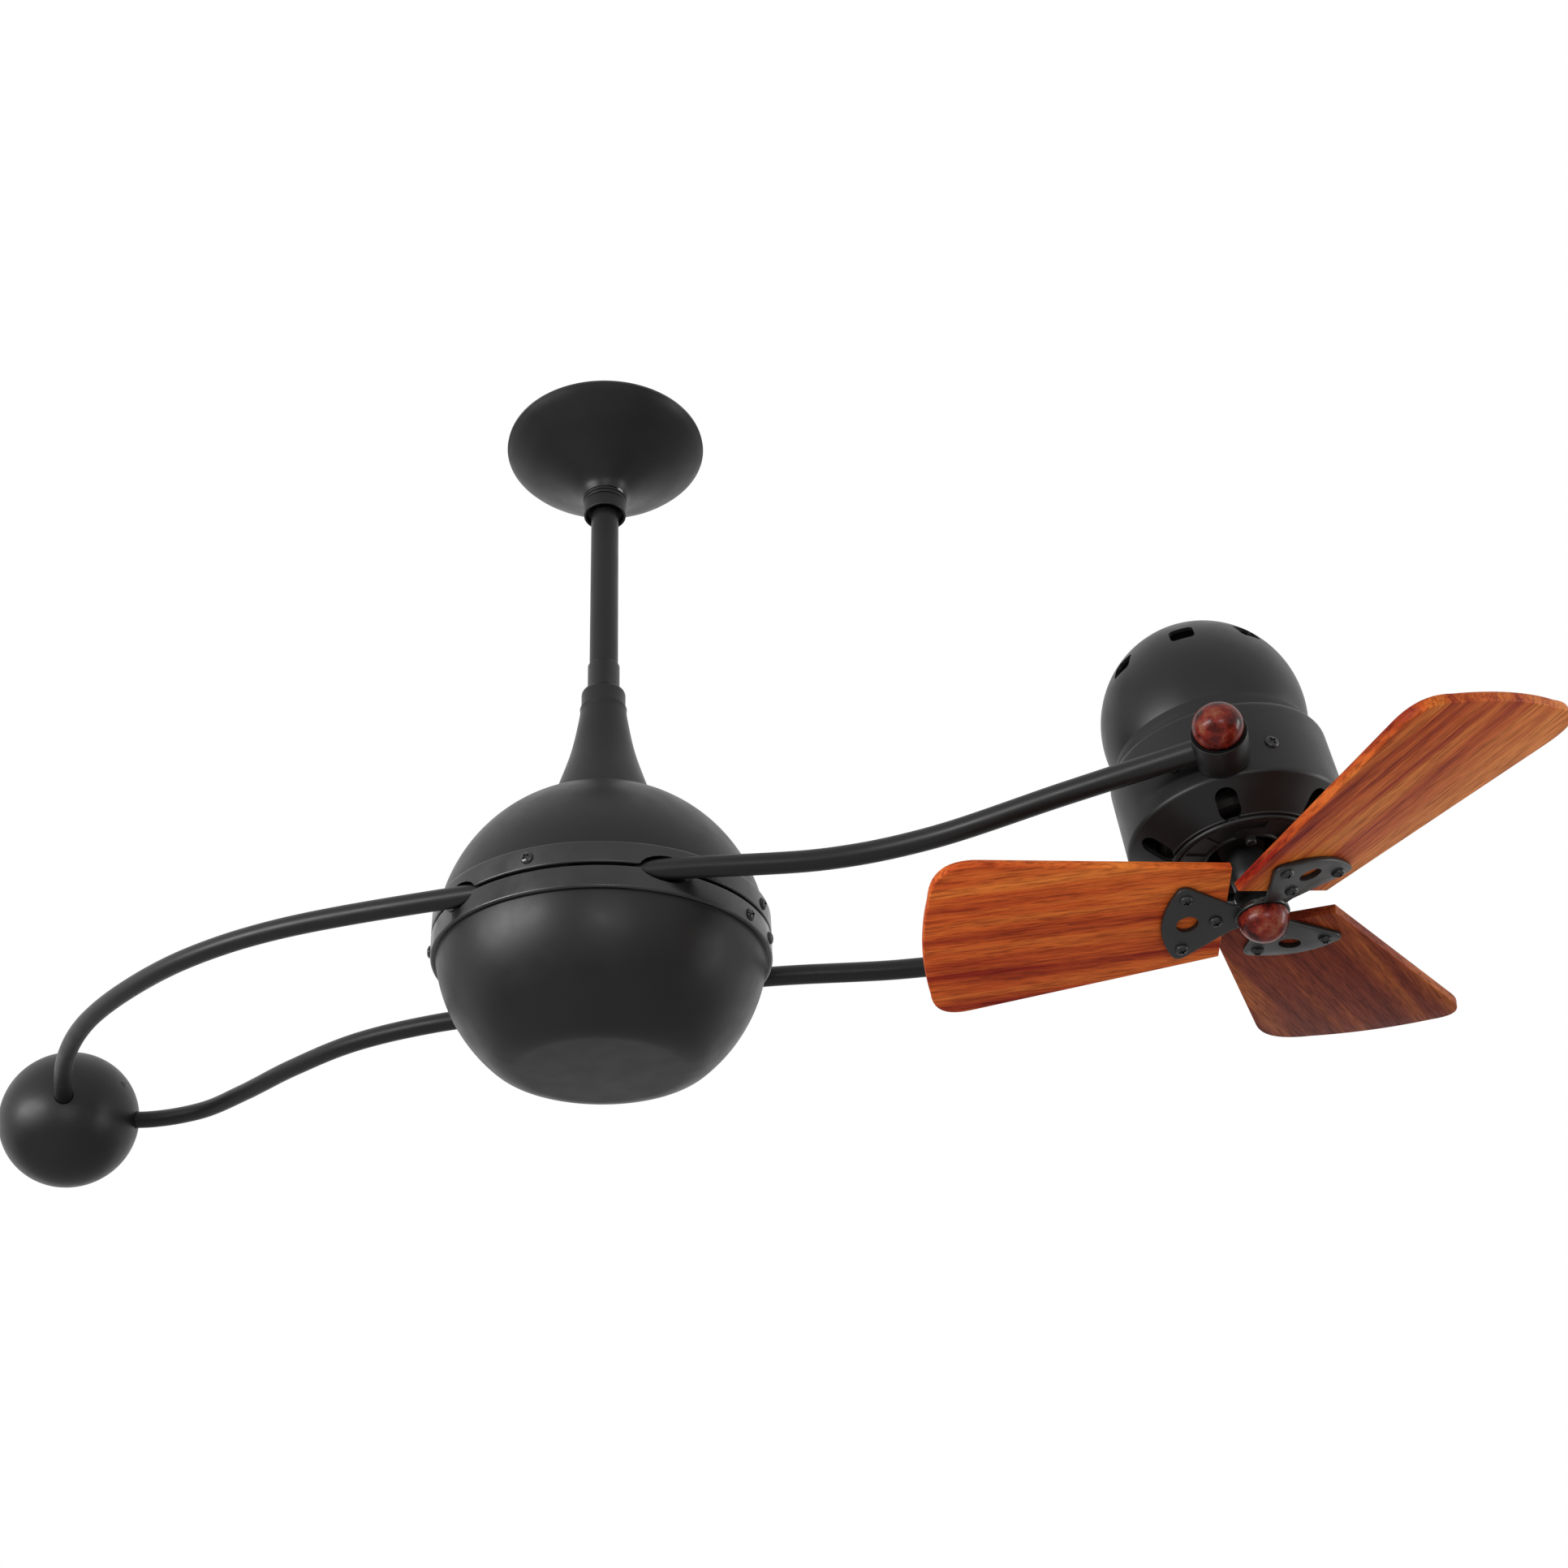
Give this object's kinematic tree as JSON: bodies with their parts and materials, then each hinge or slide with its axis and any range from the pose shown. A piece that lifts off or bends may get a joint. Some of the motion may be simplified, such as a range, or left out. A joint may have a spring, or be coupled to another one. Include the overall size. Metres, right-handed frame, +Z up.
{
  "type": "rotating ceiling fan with counterweight",
  "caption": "Ceiling fan on a downrod: a ball-shaped housing turns a pair of bent tubes that carry a tilting bladed fan head at one end and a counterweight ball at the other.",
  "frame": {"origin": "middle of the ceiling bracket's top face, on the downrod's axis", "axes": "+Z up into the ceiling, +X along the arm towards the fan head, -X towards the counterweight ball"},
  "size_m": [1.2244, 0.4284, 0.55],
  "materials": {
    "powder_coat": "satin black powder coat",
    "black_steel": "black painted steel, slightly glossier",
    "zinc_steel": "zinc-plated steel",
    "bright_steel": "ground bright steel",
    "cast_metal": "as-cast grey metal",
    "black_resin": "moulded black insulating resin",
    "brass_track": "turned brass",
    "copper_winding": "lacquered copper winding",
    "mahogany": "satin lacquered mahogany, darker red streaks along the grain",
    "polished_burl": "gloss lacquered red-brown burl"
  },
  "bodies": {
    "hanger": {"ceiling_bracket": "zinc_steel", "hanger_ball": "black_resin", "hanger_pin": "zinc_steel", "canopy": "powder_coat", "canopy_ring": "powder_coat", "canopy_collar": "powder_coat", "downrod": "powder_coat", "coupling_yoke": "black_steel", "coupling_pin": "zinc_steel", "spindle": "bright_steel", "upper_bearing_inner": "bright_steel", "lower_bearing_inner": "bright_steel", "spindle_nut": "zinc_steel", "slip_ring": "brass_track"},
    "arm": {"neck_cone": "powder_coat", "neck_collar": "powder_coat", "upper_shell": "powder_coat", "lower_shell": "powder_coat", "upper_band": "black_steel", "lower_band": "black_steel", "arm_carrier": "cast_metal", "upper_bearing_outer": "bright_steel", "lower_bearing_outer": "bright_steel", "front_clamp": "cast_metal", "rear_clamp": "cast_metal", "brush_holder": "black_resin", "front_tube": "powder_coat", "rear_tube": "powder_coat", "counterweight": "powder_coat", "front_knuckle": "powder_coat", "rear_knuckle": "powder_coat", "front_finial": "polished_burl", "rear_finial": "polished_burl"},
    "head": {"front_pivot_pin": "bright_steel", "rear_pivot_pin": "bright_steel", "motor_dome": "powder_coat", "motor_drum": "powder_coat", "stator_core": "zinc_steel", "upper_winding": "copper_winding", "lower_winding": "copper_winding", "bearing_plate": "cast_metal", "bearing_bridge": "cast_metal", "lower_motor_bearing": "bright_steel", "upper_motor_bearing": "bright_steel"},
    "blades": {"motor_shaft": "bright_steel", "rotor_core": "cast_metal", "shaft_sleeve": "powder_coat", "blade_hub": "black_steel", "hub_finial": "polished_burl", "blade_1": "mahogany", "blade_2": "mahogany", "blade_3": "mahogany", "blade_iron_1": "black_steel", "blade_iron_2": "black_steel", "blade_iron_3": "black_steel"}
  },
  "joints": [
    {"name": "arm_spin", "type": "hinge", "parent": "hanger", "child": "arm", "pos_m": [0, 0, -0.44], "axis": [0, 0, 1], "continuous": true},
    {"name": "head_tilt", "type": "hinge", "parent": "arm", "child": "head", "pos_m": [0.4054, 0.0777, -0.4436], "axis": [0.2661, -0.9606, 0.0799], "range_deg": [-12, 42]},
    {"name": "blade_spin", "type": "hinge", "parent": "head", "child": "blades", "pos_m": [0.4054, 0.0777, -0.4436], "axis": [-0.1089, 0.0524, 0.9927], "continuous": true}
  ]
}
